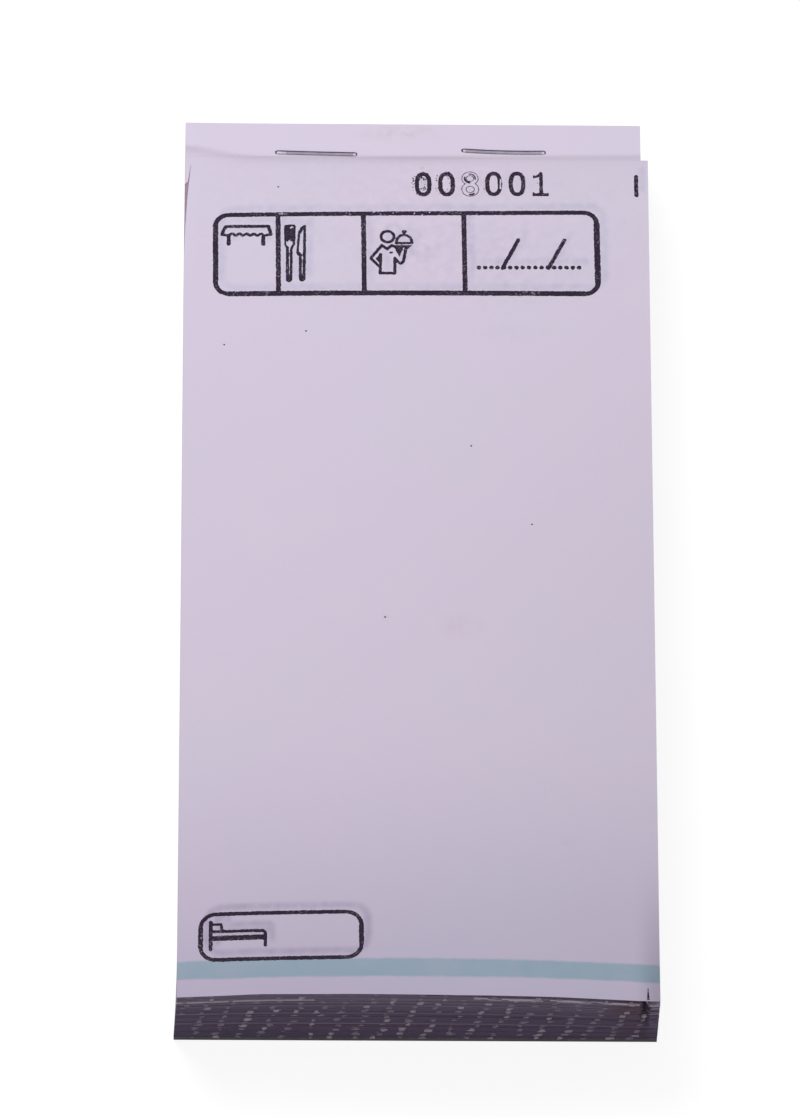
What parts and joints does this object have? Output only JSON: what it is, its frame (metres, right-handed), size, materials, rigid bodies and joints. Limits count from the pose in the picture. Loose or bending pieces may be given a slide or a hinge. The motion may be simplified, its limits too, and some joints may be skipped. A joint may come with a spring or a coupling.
{
  "type": "triplicate order pad",
  "caption": "Stapled pad of order forms in sets of three sheets, whose leaves fold up and over along a perforation; flat card back to rest on.",
  "frame": {"origin": "middle of the back card's underside", "axes": "+X to the right of the form, +Y towards the stapled end, +Z out of the face of the pad"},
  "size_m": [0.07, 0.15, 0.0144],
  "materials": {
    "white_paper": "matt uncoated carbonless paper",
    "pink_paper": "matt uncoated carbonless paper",
    "yellow_paper": "matt uncoated carbonless paper",
    "paper_blocks": "cut paper edges in layers of white, pink and yellow",
    "grey_card": "matt grey board",
    "staple_wire": "bright galvanised wire"
  },
  "bodies": {
    "bound_pad": {"back_card": "grey_card", "staple_left": "staple_wire", "staple_right": "staple_wire", "set_01_original_stub": "white_paper", "set_01_duplicate_stub": "pink_paper", "set_01_triplicate_stub": "yellow_paper", "set_02_original_stub": "white_paper", "set_02_duplicate_stub": "pink_paper", "set_02_triplicate_stub": "yellow_paper", "sets_03_to_05_stubs": "paper_blocks", "sets_06_to_08_stubs": "paper_blocks", "sets_09_to_11_stubs": "paper_blocks", "sets_12_to_14_stubs": "paper_blocks", "sets_15_to_17_stubs": "paper_blocks", "sets_18_to_20_stubs": "paper_blocks", "sets_21_to_23_stubs": "paper_blocks", "sets_24_to_26_stubs": "paper_blocks", "sets_27_to_29_stubs": "paper_blocks", "sets_30_to_32_stubs": "paper_blocks", "sets_33_to_35": "paper_blocks", "sets_36_to_38": "paper_blocks", "sets_39_to_41": "paper_blocks", "sets_42_to_44": "paper_blocks", "sets_45_to_47": "paper_blocks", "sets_48_to_50": "paper_blocks"},
    "middle_section": {"sets_15_to_17_leaves": "paper_blocks", "sets_18_to_20_leaves": "paper_blocks", "sets_21_to_23_leaves": "paper_blocks", "sets_24_to_26_leaves": "paper_blocks", "sets_27_to_29_leaves": "paper_blocks", "sets_30_to_32_leaves": "paper_blocks"},
    "front_section": {"sets_03_to_05_leaves": "paper_blocks", "sets_06_to_08_leaves": "paper_blocks", "sets_09_to_11_leaves": "paper_blocks", "sets_12_to_14_leaves": "paper_blocks"},
    "set_02_triplicate": {"set_02_triplicate_leaf": "yellow_paper"},
    "set_02_duplicate": {"set_02_duplicate_leaf": "pink_paper"},
    "set_02_original": {"set_02_original_leaf": "white_paper"},
    "set_01_triplicate": {"set_01_triplicate_leaf": "yellow_paper"},
    "set_01_duplicate": {"set_01_duplicate_leaf": "pink_paper"},
    "set_01_original": {"set_01_original_leaf": "white_paper"}
  },
  "joints": [
    {"name": "middle_section_fold", "type": "hinge", "parent": "bound_pad", "child": "middle_section", "pos_m": [0, 0.0687, 0.0114], "axis": [-1, 0, 0], "range_deg": [0, 8]},
    {"name": "front_section_fold", "type": "hinge", "parent": "middle_section", "child": "front_section", "pos_m": [0, 0.0687, 0.0114], "axis": [-1, 0, 0], "range_deg": [0, 10]},
    {"name": "set_02_triplicate_fold", "type": "hinge", "parent": "front_section", "child": "set_02_triplicate", "pos_m": [0, 0.0687, 0.0114], "axis": [-1, 0, 0], "range_deg": [0, 6]},
    {"name": "set_02_duplicate_fold", "type": "hinge", "parent": "set_02_triplicate", "child": "set_02_duplicate", "pos_m": [0, 0.0687, 0.0114], "axis": [-1, 0, 0], "range_deg": [0, 6]},
    {"name": "set_02_original_fold", "type": "hinge", "parent": "set_02_duplicate", "child": "set_02_original", "pos_m": [0, 0.0687, 0.0114], "axis": [-1, 0, 0], "range_deg": [0, 8]},
    {"name": "set_01_triplicate_fold", "type": "hinge", "parent": "set_02_original", "child": "set_01_triplicate", "pos_m": [0, 0.0687, 0.0114], "axis": [-1, 0, 0], "range_deg": [0, 12]},
    {"name": "set_01_duplicate_fold", "type": "hinge", "parent": "set_01_triplicate", "child": "set_01_duplicate", "pos_m": [0, 0.0687, 0.0114], "axis": [-1, 0, 0], "range_deg": [0, 20]},
    {"name": "set_01_original_fold", "type": "hinge", "parent": "set_01_duplicate", "child": "set_01_original", "pos_m": [0, 0.0687, 0.0114], "axis": [-1, 0, 0], "range_deg": [0, 95]}
  ]
}
